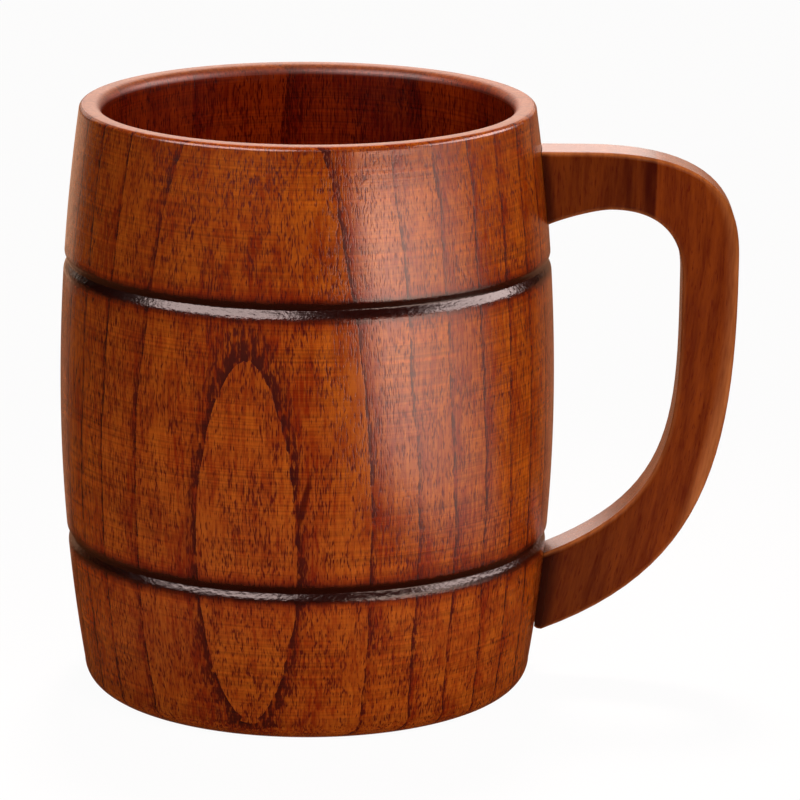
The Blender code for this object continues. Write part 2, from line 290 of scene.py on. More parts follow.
def ring_wood(tree, place, depth, rings, strength=1.0):
    """Figure of ring-porous wood across a depth in mm: its colour, and how open its grain is.

    The rings are given as the depth of the first, its width in mm, how much each is wider than the
    last, and the share of each that is band. Each starts at a sharp edge, where the pores crowd
    together, and they thin out into the rest of the year's growth.
    """
    first_ring, ring_width, ring_growth, band_share = rings
    growth = ring_growth / ring_width
    start = 1.0 - growth * first_ring
    widened = add(tree, "ShaderNodeMath", {0: depth, 1: growth, 2: start}, operation="MULTIPLY_ADD")
    years = add(tree, "ShaderNodeMath", {0: widened, 1: math.e}, operation="LOGARITHM")
    years = add(tree, "ShaderNodeMath", {0: years, 1: ring_growth}, operation="DIVIDE")
    season = add(tree, "ShaderNodeMath", {0: years}, operation="FRACT")
    fade = {"Value": season, "From Max": band_share, "To Min": 1.0, "To Max": 0.0}
    early = add(tree, "ShaderNodeMapRange", fade)
    early = add(tree, "ShaderNodeMath", {0: early, 1: BAND_FADE}, operation="POWER")
    breaks = fibres(tree, place, BREAK_SIZE, BREAK_LEVELS)
    breaks = {"Value": breaks, "To Min": FAINTEST_BAND, "To Max": strength}
    breaks = add(tree, "ShaderNodeMapRange", breaks)
    crowd = add(tree, "ShaderNodeMath", {0: early, 1: breaks}, operation="MULTIPLY")

    cloud = fibres(tree, place, CLOUD_SIZE, CLEAR_LEVELS)
    strand = fibres(tree, place, STRAND_SIZE, CLEAR_LEVELS, detail=1.0)
    fleck = fibres(tree, place, FLECK_SIZE, CLEAR_LEVELS)
    darkening = {"Value": season, "From Max": YEAR_STAIN_SHARE, "To Min": YEAR_STAIN, "To Max": 0.0}
    darkening = add(tree, "ShaderNodeMapRange", darkening)
    tone = add(tree, "ShaderNodeMath", {0: cloud, 1: CLOUD_SHARE}, operation="MULTIPLY")
    tone = add(tree, "ShaderNodeMath", {0: strand, 1: STRAND_SHARE, 2: tone}, operation="MULTIPLY_ADD")
    tone = add(tree, "ShaderNodeMath", {0: fleck, 1: FLECK_SHARE, 2: tone}, operation="MULTIPLY_ADD")
    tone = add(tree, "ShaderNodeMath", {0: tone, 1: darkening}, operation="SUBTRACT", use_clamp=True)
    blend = {"Factor": tone, "A": linear(DEEP_WOOD), "B": linear(LIGHT_WOOD)}
    colour = add(tree, "ShaderNodeMix", blend, data_type="RGBA")
    band = add(tree, "ShaderNodeMath", {0: crowd, 1: BAND_SHADE}, operation="MULTIPLY")
    blend = {"Factor": band, "A": colour, "B": linear(RING_WOOD)}
    colour = add(tree, "ShaderNodeMix", blend, data_type="RGBA")

    pores = fibres(tree, place, PORE_SIZE, FULL_LEVELS, detail=1.0)
    pores = add(tree, "ShaderNodeMath", {0: crowd, 1: BAND_PORES, 2: pores}, operation="MULTIPLY_ADD")
    scatter = fibres(tree, place, SCATTER_SIZE, CLEAR_LEVELS)
    scattered = {0: scatter, 1: SCATTER_PORES, 2: pores}
    pores = add(tree, "ShaderNodeMath", scattered, operation="MULTIPLY_ADD")
    open_grain = {"Value": pores, "From Min": PORE_LEVELS[0], "From Max": PORE_LEVELS[1]}
    open_grain = add(tree, "ShaderNodeMapRange", open_grain, interpolation_type="SMOOTHSTEP")
    blend = {"Factor": crowd, "A": linear(PORE_WOOD), "B": linear(RING_WOOD)}
    pore_colour = add(tree, "ShaderNodeMix", blend, data_type="RGBA")
    blend = {"Factor": open_grain, "A": colour, "B": pore_colour}
    colour = add(tree, "ShaderNodeMix", blend, data_type="RGBA")
    return colour, open_grain


def lacquer_over(tree, open_grain, smooth=LACQUER_ROUGHNESS, pore_depth=PORE_DEPTH):
    """Roughness and height in mm of lacquer over open grain, which it half fills."""
    rough = {"Value": open_grain, "To Min": smooth, "To Max": PORE_ROUGHNESS}
    roughness = add(tree, "ShaderNodeMapRange", rough)
    height = add(tree, "ShaderNodeMath", {0: open_grain, 1: -pore_depth}, operation="MULTIPLY")
    return roughness, height


def lay_finish(tree, shader, colour, roughness, height):
    """Joins a figure to its shader, with the height in mm as a bump of its real size."""
    tree.links.new(next(o for o in colour.outputs if o.enabled), shader.inputs["Base Color"])
    tree.links.new(next(o for o in roughness.outputs if o.enabled), shader.inputs["Roughness"])
    bump = add(tree, "ShaderNodeBump", {"Height": height, "Strength": 1.0, "Distance": MM})
    tree.links.new(bump.outputs[0], shader.inputs["Normal"])
    shader.inputs["IOR"].default_value = LACQUER_IOR


# The rings of the barrel's block lie almost upright and face a little left of the front. The lathe
# cuts through them at the belly, and so the nearest one shows as a long oval. The rings wander to
# the sides, but hardly from front to back, so the oval's ends stay whole. In the bore they are faint.
PER_MM = (1 / MM, 1 / MM, 1 / MM)
RING_FACE_TURN = math.radians(13.0)
RING_LEAN = -0.0577
RING_BOW = 0.00075
RING_BOW_HEIGHT = 37.0
RING_PEAK = 44.01
BARREL_RINGS = (0.84, 4.5, 0.085, 0.15)
RING_SWAY = 1.2
SWAY_SIZE = (10.0, 10.0, 26.0)
RING_JAG = 0.35
JAG_SIZE = (1.1, 1.1, 4.0)
RING_BLUR = 0.03
FAR_RINGS = 0.9
FAR_RINGS_REACH = (8.0, 22.0)
BORE_RINGS = 0.4
BORE_SKIN = (1.5, 0.1)
bore_wall = BORE_RADIUS / MM
rim_edge = RIM_RADIUS / MM
rim_level = RIM_HEIGHT / MM

barrel_wood, tree, shader = new_material("stained_lacquered_elm")
seat = add(tree, "ShaderNodeTexCoord", {}).outputs["Object"]
turned = {"Vector": seat, "Rotation": (0.0, 0.0, RING_FACE_TURN), "Scale": PER_MM}
place = add(tree, "ShaderNodeMapping", turned)
axes = add(tree, "ShaderNodeSeparateXYZ", {"Vector": place})
lean = add(tree, "ShaderNodeVectorMath", {0: place, 1: (0.0, 1.0, -RING_LEAN)}, operation="DOT_PRODUCT")
rise = add(tree, "ShaderNodeMath", {0: axes.outputs["Z"], 1: RING_BOW_HEIGHT}, operation="SUBTRACT")
bow = add(tree, "ShaderNodeMath", {0: rise, 1: 2.0}, operation="POWER")
bowed = {0: bow, 1: -RING_BOW, 2: lean.outputs["Value"]}
depth = add(tree, "ShaderNodeMath", bowed, operation="MULTIPLY_ADD")
depth = add(tree, "ShaderNodeMath", {0: depth, 1: RING_PEAK}, operation="ADD")
sway = fibres(tree, place, SWAY_SIZE, SOFT_LEVELS)
jag = fibres(tree, place, JAG_SIZE, SOFT_LEVELS)
sway = add(tree, "ShaderNodeMath", {0: sway, 1: NOISE_MIDDLE}, operation="SUBTRACT")
jag = add(tree, "ShaderNodeMath", {0: jag, 1: NOISE_MIDDLE}, operation="SUBTRACT")
wander = add(tree, "ShaderNodeMath", {0: sway, 1: RING_SWAY * MM / BELLY_RADIUS}, operation="MULTIPLY")
jagged = {0: jag, 1: RING_JAG * MM / BELLY_RADIUS, 2: wander}
wander = add(tree, "ShaderNodeMath", jagged, operation="MULTIPLY_ADD")
wandered = {0: axes.outputs["X"], 1: wander, 2: depth}
depth = add(tree, "ShaderNodeMath", wandered, operation="MULTIPLY_ADD")
depth = add(tree, "ShaderNodeMath", {0: jag, 1: RING_BLUR, 2: depth}, operation="MULTIPLY_ADD")
sideways = add(tree, "ShaderNodeMath", {0: axes.outputs["X"]}, operation="ABSOLUTE")
fainter = {"Value": sideways, "From Min": FAR_RINGS_REACH[0], "From Max": FAR_RINGS_REACH[1]}
strength = add(tree, "ShaderNodeMapRange", {**fainter, "To Min": 1.0, "To Max": FAR_RINGS})
flat = add(tree, "ShaderNodeVectorMath", {0: place, 1: (1.0, 1.0, 0.0)}, operation="MULTIPLY")
reach = add(tree, "ShaderNodeVectorMath", {0: flat}, operation="LENGTH").outputs["Value"]
bore = {"Value": reach, "From Min": bore_wall + BORE_SKIN[0], "From Max": bore_wall + BORE_SKIN[1]}
bore = add(tree, "ShaderNodeMapRange", bore)
strength = add(tree, "ShaderNodeMapRange", {"Value": bore, "To Min": strength, "To Max": BORE_RINGS})
colour, open_grain = ring_wood(tree, place, depth, BARREL_RINGS, strength)
roughness, height = lacquer_over(tree, open_grain)

# One short dark streak leans against the right of the oval.
STREAK_MIDDLE = (10.9, -45.3, 47.3)
STREAK_LEAN = 0.22
STREAK_WIDTH = 0.75
STREAK_LENGTH = 6.0
STREAK_DEPTH = 8.0
STREAK_EDGE = (1.1, 0.5)
STREAK_SHADE = 0.85
STREAK_COLOUR = "#450b01"
offset = add(tree, "ShaderNodeVectorMath", {0: place, 1: STREAK_MIDDLE}, operation="SUBTRACT")
across = {0: offset, 1: (1.0 / STREAK_WIDTH, 0.0, -STREAK_LEAN / STREAK_WIDTH)}
across = add(tree, "ShaderNodeVectorMath", across, operation="DOT_PRODUCT").outputs["Value"]
along_grain = {0: offset, 1: (0.0, 0.0, 1.0 / STREAK_LENGTH)}
along_grain = add(tree, "ShaderNodeVectorMath", along_grain, operation="DOT_PRODUCT").outputs["Value"]
inward = {0: offset, 1: (0.0, 1.0 / STREAK_DEPTH, 0.0)}
inward = add(tree, "ShaderNodeVectorMath", inward, operation="DOT_PRODUCT").outputs["Value"]
spread = add(tree, "ShaderNodeCombineXYZ", {"X": across, "Y": inward, "Z": along_grain})
spread = add(tree, "ShaderNodeVectorMath", {0: spread}, operation="LENGTH").outputs["Value"]
streak = {"Value": spread, "From Min": STREAK_EDGE[0], "From Max": STREAK_EDGE[1], "To Max": STREAK_SHADE}
streak = add(tree, "ShaderNodeMapRange", streak, interpolation_type="SMOOTHSTEP")
blend = {"Factor": streak, "A": colour, "B": linear(STREAK_COLOUR)}
colour = add(tree, "ShaderNodeMix", blend, data_type="RGBA")

# Turning marks: fine lines left round the barrel by the tool and the sandpaper, in patches. They are
# drawn a little coarser than real ones, so that they show.
MARK_SIZE = (60.0, 60.0, 0.42)
MARK_SHADE = 0.5
MARK_HEIGHT = 0.004
PATCH_SIZE = (12.0, 12.0, 16.0)
PATCH_LEVELS = (0.25, 0.55)
marks = fibres(tree, place, MARK_SIZE, SOFT_LEVELS, detail=1.0)
marks = add(tree, "ShaderNodeMath", {0: marks, 1: NOISE_MIDDLE}, operation="SUBTRACT")
patches = fibres(tree, place, PATCH_SIZE, PATCH_LEVELS)
patches = add(tree, "ShaderNodeMath", {0: patches, 1: MARK_SHADE}, operation="MULTIPLY")
shade = add(tree, "ShaderNodeMath", {0: marks, 1: patches, 2: 1.0}, operation="MULTIPLY_ADD")
colour = add(tree, "ShaderNodeHueSaturation", {"Value": shade, "Color": colour})
height = add(tree, "ShaderNodeMath", {0: marks, 1: MARK_HEIGHT, 2: height}, operation="MULTIPLY_ADD")

# The bore is painted darker and redder than the outside, a painted shade inside the mug, and less so at the
# right, a painted light where more light falls on that wall. Its lacquer shines more.
BORE_PAINTED_SHADE = "#bc8159"
BORE_PAINTED_SHADE_RIGHT = "#fabb70"
BORE_RIGHT = (8.0, 26.0)
BORE_ROUGHNESS = 0.15
BORE_SHINE_DROP = (1.8, 3.0)
to_right = {"Value": axes.outputs["X"], "From Min": BORE_RIGHT[0], "From Max": BORE_RIGHT[1]}
to_right = add(tree, "ShaderNodeMapRange", to_right, interpolation_type="SMOOTHSTEP")
blend = {"Factor": to_right, "A": linear(BORE_PAINTED_SHADE), "B": linear(BORE_PAINTED_SHADE_RIGHT)}
darkening = add(tree, "ShaderNodeMix", blend, data_type="RGBA")
darkened = {"Factor": bore, "A": colour, "B": darkening}
colour = add(tree, "ShaderNodeMix", darkened, data_type="RGBA", blend_type="MULTIPLY")
inside = {"Value": axes.outputs["Z"], "From Min": rim_level - BORE_SHINE_DROP[0]}
inside = {**inside, "From Max": rim_level - BORE_SHINE_DROP[1], "To Max": bore}
inside = add(tree, "ShaderNodeMapRange", inside)
shining = {"Value": inside, "To Min": roughness, "To Max": BORE_ROUGHNESS}
roughness = add(tree, "ShaderNodeMapRange", shining)

# The rim's top is painted paler and plainer: partly wear, partly painted light on the face that looks up
# into the lamps. Its end grain keeps the lacquer dull. The grain's flecks are drawn coarser than real
# pores, so that they show.
RIM_LIGHT = "#9c6a40"
RIM_DEEP = "#714626"
RIM_ROUGHNESS = 0.41
RIM_DULL = 0.6
RIM_WEAR_AND_LIGHT = 0.75
RIM_INNER_WEAR_AND_LIGHT = 0.1
RIM_DROP = (2.4, 1.0)
RIM_INSET = (0.2, 1.0)
END_GRAIN_SIZE = (0.6, 0.6, 0.6)
rim = {"Value": axes.outputs["Z"], "From Min": rim_level - RIM_DROP[0], "From Max": rim_level - RIM_DROP[1]}
rim = add(tree, "ShaderNodeMapRange", rim)
within = {"Value": reach, "From Min": rim_edge - RIM_INSET[0], "From Max": rim_edge - RIM_INSET[1]}
within = add(tree, "ShaderNodeMapRange", within)
rim = add(tree, "ShaderNodeMath", {0: rim, 1: within}, operation="MULTIPLY")
rim_sheen = {"Value": rim, "From Max": RIM_DULL, "To Max": RIM_ROUGHNESS}
rim_sheen = add(tree, "ShaderNodeMapRange", rim_sheen)
roughness = add(tree, "ShaderNodeMath", {0: roughness, 1: rim_sheen}, operation="MAXIMUM")
wear_and_light = add(tree, "ShaderNodeMapRange", {"Value": bore, "To Min": RIM_WEAR_AND_LIGHT, "To Max": RIM_INNER_WEAR_AND_LIGHT})
wear_and_light = add(tree, "ShaderNodeMath", {0: rim, 1: wear_and_light}, operation="MULTIPLY")
flecks = fibres(tree, place, END_GRAIN_SIZE, EVEN_LEVELS)
blend = {"Factor": flecks, "A": linear(RIM_DEEP), "B": linear(RIM_LIGHT)}
end_grain = add(tree, "ShaderNodeMix", blend, data_type="RGBA")
blend = {"Factor": wear_and_light, "A": colour, "B": end_grain}
colour = add(tree, "ShaderNodeMix", blend, data_type="RGBA")

# Dark lacquer brushed into the grooves pools there, lumpy and almost black. It fades out over their
# lips into a reddish halo, and glints where it faces a lamp.
GROOVE_LACQUER = "#220300"
GROOVE_HALO = "#dcb09c"
GROOVE_ROUGHNESS = 0.2
GROOVE_LUMPS = 0.05
LUMP_SIZE = (1.0, 1.0, 0.6)
LACQUER_TOP = (2.6, 0.9)
LACQUER_FOOT = (-2.9, -1.1)
LACQUER_RAGGED = 0.3
RAGGED_SIZE = (2.0, 2.0, 1.2)
HALO_REACH = (4.2, 2.0)
BORE_CLEAR = 1.0
groove_pitch = (upper_groove - lower_groove) / MM
above = add(tree, "ShaderNodeMath", {0: axes.outputs["Z"], 1: lower_groove / MM}, operation="SUBTRACT")
above = add(tree, "ShaderNodeMath", {0: above, 1: groove_pitch / 2, 2: -groove_pitch / 2}, operation="WRAP")
ragged = fibres(tree, place, RAGGED_SIZE, EVEN_LEVELS)
ragged = add(tree, "ShaderNodeMath", {0: ragged, 1: NOISE_MIDDLE}, operation="SUBTRACT")
above = add(tree, "ShaderNodeMath", {0: ragged, 1: LACQUER_RAGGED, 2: above}, operation="MULTIPLY_ADD")
top_edge = {"Value": above, "From Min": LACQUER_TOP[0], "From Max": LACQUER_TOP[1]}
top_edge = add(tree, "ShaderNodeMapRange", top_edge, interpolation_type="SMOOTHSTEP")
foot_edge = {"Value": above, "From Min": LACQUER_FOOT[0], "From Max": LACQUER_FOOT[1]}
foot_edge = add(tree, "ShaderNodeMapRange", foot_edge, interpolation_type="SMOOTHSTEP")
outside = add(tree, "ShaderNodeMath", {0: reach, 1: bore_wall + BORE_CLEAR}, operation="GREATER_THAN")
painted = add(tree, "ShaderNodeMath", {0: top_edge, 1: foot_edge}, operation="MULTIPLY")
painted = add(tree, "ShaderNodeMath", {0: painted, 1: outside}, operation="MULTIPLY")
near = add(tree, "ShaderNodeMath", {0: above}, operation="ABSOLUTE")
near = {"Value": near, "From Min": HALO_REACH[0], "From Max": HALO_REACH[1], "To Max": outside}
near = add(tree, "ShaderNodeMapRange", near)
lumps = fibres(tree, place, LUMP_SIZE, SOFT_LEVELS, detail=3.0)
lumps = add(tree, "ShaderNodeMath", {0: lumps, 1: GROOVE_LUMPS}, operation="MULTIPLY")
darkened = {"Factor": near, "A": colour, "B": linear(GROOVE_HALO)}
colour = add(tree, "ShaderNodeMix", darkened, data_type="RGBA", blend_type="MULTIPLY")
blend = {"Factor": painted, "A": colour, "B": linear(GROOVE_LACQUER)}
colour = add(tree, "ShaderNodeMix", blend, data_type="RGBA")
glossed = {"Value": painted, "To Min": roughness, "To Max": GROOVE_ROUGHNESS}
roughness = add(tree, "ShaderNodeMapRange", glossed)
height = add(tree, "ShaderNodeMapRange", {"Value": painted, "To Min": height, "To Max": lumps})
lay_finish(tree, shader, colour, roughness, height)
barrel.data.materials.clear()
barrel.data.materials.append(barrel_wood)
finish_piece(barrel, "barrel")


# The base disc: a flat disc of the same wood, its grain level, glued up into the step under the bore
# and turned flush with the foot. Its edges are broken a little, so its joint shows as a fine line.
DISC_CHAMFER = 0.3 * MM

_, disc_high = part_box("base_disc")
disc_edge = disc_high.x
disc_section = [(0.0, disc_high.z), (disc_edge - DISC_CHAMFER, disc_high.z)]
disc_section.append((disc_edge, disc_high.z - DISC_CHAMFER))
disc_section.append((disc_edge, foot_height(disc_edge) + DISC_CHAMFER))
disc_section.append((disc_edge - DISC_CHAMFER, foot_height(disc_edge - DISC_CHAMFER)))
disc_section += [point for point in foot_arc if point[0] < disc_edge - DISC_CHAMFER]
disc_section.append((0.0, 0.0))
disc = turn_on_lathe("inset_base_disc", disc_section)

# The same stained elm, cut along its grain: almost straight bands of pores cross the disc, under the
# same satin lacquer.
DISC_GRAIN_TURN = math.radians(8)
DISC_RING_FACE = (0.25, 0.95, 0.03)
DISC_RING_PEAK = 60.0
DISC_RINGS = (2.0, 5.0, 0.03, 0.16)
base_wood, tree, shader = new_material("stained_elm_face_grain")
seat = add(tree, "ShaderNodeTexCoord", {}).outputs["Object"]
laid = {"Vector": seat, "Rotation": (0.0, math.pi / 2, DISC_GRAIN_TURN), "Scale": PER_MM}
place = add(tree, "ShaderNodeMapping", laid)
depth = add(tree, "ShaderNodeVectorMath", {0: place, 1: DISC_RING_FACE}, operation="DOT_PRODUCT")
depth = add(tree, "ShaderNodeMath", {0: depth.outputs["Value"], 1: DISC_RING_PEAK}, operation="ADD")
colour, open_grain = ring_wood(tree, place, depth, DISC_RINGS)
lay_finish(tree, shader, colour, *lacquer_over(tree, open_grain))
disc.data.materials.clear()
disc.data.materials.append(base_wood)
finish_piece(disc, "base_disc")


# The handle: sawn from a board of the same wood with its grain upright, its edges rounded over, and
# both ends hollowed to the barrel's side, where they are glued and doweled.
handle_low, handle_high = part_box("handle")
HANDLE_TOP = handle_high.z
HANDLE_THICKNESS = handle_high.y - handle_low.y
HANDLE_EDGE_ROUND = 1.1 * MM
HANDLE_EDGE_STEPS = 5
OUTLINE_STEPS = 24
STRAIGHT_ANGLE = math.radians(0.1)
COPE_STEPS = 56

GRIP_WIDTH = 10.6 * MM
ARM_HEIGHT = 11.0 * MM
UPPER_END_HEIGHT = 13.9 * MM
SHOULDER_LENGTH = 28.7 * MM
SHOULDER_DROP = 22.6 * MM
ARCH_LENGTH = 13.5 * MM
ARCH_DROP = 12.7 * MM
LOWER_END = 25.7 * MM
TOE_HEIGHT = 10.0 * MM
TOE_ROUND = 1.5 * MM
TOE_MIDDLE = (0.37, 0.45)
TOE_BACK = 0.8
INTO_BARREL = 4.0 * MM
GLUE_LINE = 0.1 * MM
TOE_SLOPE = math.radians(21.1)
FOOT_SLOPE = math.radians(22.8)
END_SLOPE = math.radians(23.7)

OUTER_ARM_FULLNESS = 1.04
OUTER_SHOULDER_FULLNESS = 0.36
OUTER_GRIP_FULLNESS = 0.52
OUTER_FOOT_FULLNESS = 0.91
INNER_FOOT_FULLNESS = 1.10
INNER_GRIP_FULLNESS = 0.53
INNER_SHOULDER_FULLNESS = 0.64
UPPER_END_FULLNESS = 0.25

GRIP_OUTER = handle_high.x
GRIP_INNER = GRIP_OUTER - GRIP_WIDTH
ARM_UNDERSIDE = HANDLE_TOP - ARM_HEIGHT
UPPER_END = HANDLE_TOP - UPPER_END_HEIGHT


def along(x, z, slope, length):
    """The point a length further along a slope."""
    return (x + length * math.cos(slope), z + length * math.sin(slope))


def handle_outline():
    """The handle's outline as curve points, each with its place and its two tangents.

    It runs along the top and down the outside, and back up the inside of the grip. A tangent of
    None is a straight run, and both ends run on into the barrel.
    """
    upper_x = side_radius(UPPER_END)
    lower_x = side_radius(LOWER_END)
    toe_x = side_radius(TOE_HEIGHT)
    shoulder_x, shoulder_z = GRIP_OUTER - SHOULDER_LENGTH, HANDLE_TOP - SHOULDER_DROP
    arch_x, arch_z = GRIP_INNER - ARCH_LENGTH, ARM_UNDERSIDE - ARCH_DROP
    toe = along(toe_x, TOE_HEIGHT, TOE_SLOPE, TOE_ROUND)
    toe_middle = (toe_x + TOE_MIDDLE[0] * TOE_ROUND, TOE_HEIGHT + TOE_MIDDLE[1] * TOE_ROUND)
    toe_back = (toe_x - GLUE_LINE, TOE_HEIGHT + TOE_BACK * TOE_ROUND)
    arm_reach = OUTER_ARM_FULLNESS * (GRIP_OUTER - shoulder_x)
    toe_reach = OUTER_FOOT_FULLNESS * (GRIP_OUTER - toe_x) - TOE_ROUND
    foot_reach = INNER_FOOT_FULLNESS * (GRIP_INNER - lower_x)
    end_reach = UPPER_END_FULLNESS * (arch_x - upper_x)
    return [
        ((side_radius(HANDLE_TOP) - INTO_BARREL, HANDLE_TOP), None, None),
        ((shoulder_x, HANDLE_TOP), None, (shoulder_x + arm_reach, HANDLE_TOP)),
        (
            (GRIP_OUTER, shoulder_z),
            (GRIP_OUTER, shoulder_z + OUTER_SHOULDER_FULLNESS * (HANDLE_TOP - shoulder_z)),
            (GRIP_OUTER, shoulder_z - OUTER_GRIP_FULLNESS * (shoulder_z - TOE_HEIGHT)),
        ),
        (toe, along(*toe, TOE_SLOPE, toe_reach), None),
        (toe_middle, None, None),
        (toe_back, None, None),
        ((toe_x - INTO_BARREL, toe_back[1]), None, None),
        (along(lower_x, LOWER_END, FOOT_SLOPE, -INTO_BARREL), None, None),
        ((lower_x, LOWER_END), None, along(lower_x, LOWER_END, FOOT_SLOPE, foot_reach)),
        (
            (GRIP_INNER, arch_z),
            (GRIP_INNER, arch_z - INNER_GRIP_FULLNESS * (arch_z - LOWER_END)),
            (GRIP_INNER, arch_z + INNER_SHOULDER_FULLNESS * (ARM_UNDERSIDE - arch_z)),
        ),
        (
            (arch_x, ARM_UNDERSIDE),
            (arch_x + INNER_SHOULDER_FULLNESS * (GRIP_INNER - arch_x), ARM_UNDERSIDE),
            (arch_x - end_reach, ARM_UNDERSIDE),
        ),
        ((upper_x, UPPER_END), along(upper_x, UPPER_END, END_SLOPE, end_reach), None),
        (along(upper_x, UPPER_END, END_SLOPE, -INTO_BARREL), None, None),
    ]


bpy.ops.curve.primitive_bezier_curve_add()
handle = bpy.context.object
handle.name = "sawn_handle"
outline = handle.data
outline.dimensions = "2D"
outline.fill_mode = "BOTH"
outline.resolution_u = OUTLINE_STEPS
spline = outline.splines[0]
points = handle_outline()
spline.bezier_points.add(len(points) - len(spline.bezier_points))
spline.use_cyclic_u = True
for point, (corner, tangent_in, tangent_out) in zip(spline.bezier_points, points):
    point.handle_left_type = "VECTOR" if tangent_in is None else "FREE"
    point.handle_right_type = "VECTOR" if tangent_out is None else "FREE"
    point.co = (*corner, 0.0)
    point.handle_left = (*(tangent_in or corner), 0.0)
    point.handle_right = (*(tangent_out or corner), 0.0)
handle.location = (0.0, -HANDLE_THICKNESS / 2, 0.0)
handle.rotation_euler = (math.pi / 2, 0.0, 0.0)
bpy.ops.object.convert(target="MESH")
bpy.ops.object.transform_apply()
handle.data.name = "sawn_handle"

bpy.ops.object.mode_set(mode="EDIT")
bpy.ops.mesh.select_all(action="SELECT")
bpy.ops.mesh.remove_doubles(threshold=WELD_DISTANCE)
bpy.ops.mesh.dissolve_limited(angle_limit=STRAIGHT_ANGLE)
bpy.ops.mesh.extrude_region_move(TRANSFORM_OT_translate={"value": (0.0, HANDLE_THICKNESS, 0.0)})
bpy.ops.mesh.select_all(action="SELECT")
bpy.ops.mesh.normals_make_consistent(inside=False)
bpy.ops.mesh.select_mode(type="EDGE")
bpy.ops.mesh.select_all(action="DESELECT")
bpy.ops.object.mode_set(mode="OBJECT")
corners = handle.data.vertices
for edge in handle.data.edges:
    edge.select = abs(corners[edge.vertices[0]].co.y - corners[edge.vertices[1]].co.y) < WELD_DISTANCE
bpy.ops.object.mode_set(mode="EDIT")
bpy.ops.mesh.bevel(offset=HANDLE_EDGE_ROUND, segments=HANDLE_EDGE_STEPS, affect="EDGES")
bpy.ops.object.mode_set(mode="OBJECT")

cope_heights = [RIM_HEIGHT * step / COPE_STEPS for step in range(COPE_STEPS + 1)]
cope_section = [(0.0, 0.0)]
cope_section += [(side_radius(height) + GLUE_LINE, height) for height in cope_heights]
cope_section.append((0.0, RIM_HEIGHT))
cut_away(handle, turn_on_lathe("cope", cope_section))
for dowel_name in DOWELS:
    bore_for_dowel(handle, dowel_name)

# The handle's board: stained elm with soft streaks that stand upright at the arm and lean over with
# the grip further down, few pores, and a duller lacquer than the barrel's.
LIGHT_HANDLE = "#873f04"
DEEP_HANDLE = "#5e1e01"
HANDLE_ROUGHNESS = 0.25
GRAIN_BOW = 0.0015
BOARD_STREAK_SIZE = (1.8, 4.0, 16.0)
BOARD_STREAK_SHARE = 0.6
HAIR_SIZE = (0.45, 0.8, 4.0)
HAIR_SHARE = 0.35
HANDLE_PORE_SIZE = (0.3, 0.5, 2.0)
HANDLE_PORE_LEVELS = (0.55, 0.75)
HANDLE_PORE_DEPTH = 0.003
HANDLE_PORE_SHADE = 0.75

handle_wood, tree, shader = new_material("stained_elm_board")
coordinates = add(tree, "ShaderNodeTexCoord", {})
place = add(tree, "ShaderNodeMapping", {"Vector": coordinates.outputs["Object"], "Scale": PER_MM})
axes = add(tree, "ShaderNodeSeparateXYZ", {"Vector": place})
fall = add(tree, "ShaderNodeMath", {0: HANDLE_TOP / MM, 1: axes.outputs["Z"]}, operation="SUBTRACT")
bow = add(tree, "ShaderNodeMath", {0: fall, 1: 2.0}, operation="POWER")
bowed = {0: bow, 1: GRAIN_BOW, 2: axes.outputs["X"]}
across = add(tree, "ShaderNodeMath", bowed, operation="MULTIPLY_ADD")
grain = {"X": across, "Y": axes.outputs["Y"], "Z": axes.outputs["Z"]}
grain = add(tree, "ShaderNodeCombineXYZ", grain)
streaks = fibres(tree, grain, BOARD_STREAK_SIZE, EVEN_LEVELS)
hairs = fibres(tree, grain, HAIR_SIZE, EVEN_LEVELS)
tone = add(tree, "ShaderNodeMath", {0: streaks, 1: BOARD_STREAK_SHARE}, operation="MULTIPLY")
tone = add(tree, "ShaderNodeMath", {0: hairs, 1: HAIR_SHARE, 2: tone}, operation="MULTIPLY_ADD")
blend = {"Factor": tone, "A": linear(DEEP_HANDLE), "B": linear(LIGHT_HANDLE)}
colour = add(tree, "ShaderNodeMix", blend, data_type="RGBA")
open_grain = fibres(tree, grain, HANDLE_PORE_SIZE, HANDLE_PORE_LEVELS)
pored = add(tree, "ShaderNodeMath", {0: open_grain, 1: HANDLE_PORE_SHADE}, operation="MULTIPLY")
blend = {"Factor": pored, "A": colour, "B": linear(PORE_WOOD)}
colour = add(tree, "ShaderNodeMix", blend, data_type="RGBA")

# One dark band of the board crosses the arm. It has a hard right edge and fades to the left.
BAND_COLOUR = "#3a0800"
BAND_EDGE = 65.5
BAND_EDGE_BLUR = (-0.1, 0.3)
BAND_WIDTH = 11.0
BAND_CORE = 2.0
BAND_FALL = (30.0, 18.0)
BAND_DEPTH = (0.9, 0.45)
left_of_edge = add(tree, "ShaderNodeMath", {0: BAND_EDGE, 1: across}, operation="SUBTRACT")
hard_edge = {"Value": left_of_edge, "From Min": BAND_EDGE_BLUR[0], "From Max": BAND_EDGE_BLUR[1]}
hard_edge = add(tree, "ShaderNodeMapRange", hard_edge)
band = {"Value": left_of_edge, "From Min": BAND_WIDTH, "From Max": BAND_CORE}
band = add(tree, "ShaderNodeMapRange", band)
band = add(tree, "ShaderNodeMath", {0: band, 1: hard_edge}, operation="MULTIPLY")
in_arm = add(tree, "ShaderNodeMapRange", {"Value": fall, "From Min": BAND_FALL[0], "From Max": BAND_FALL[1]})
band = add(tree, "ShaderNodeMath", {0: band, 1: in_arm}, operation="MULTIPLY")
darkest = {"Value": streaks, "To Min": BAND_DEPTH[0], "To Max": BAND_DEPTH[1]}
darkest = add(tree, "ShaderNodeMapRange", darkest)
band = add(tree, "ShaderNodeMath", {0: band, 1: darkest}, operation="MULTIPLY")
blend = {"Factor": band, "A": colour, "B": linear(BAND_COLOUR)}
colour = add(tree, "ShaderNodeMix", blend, data_type="RGBA")
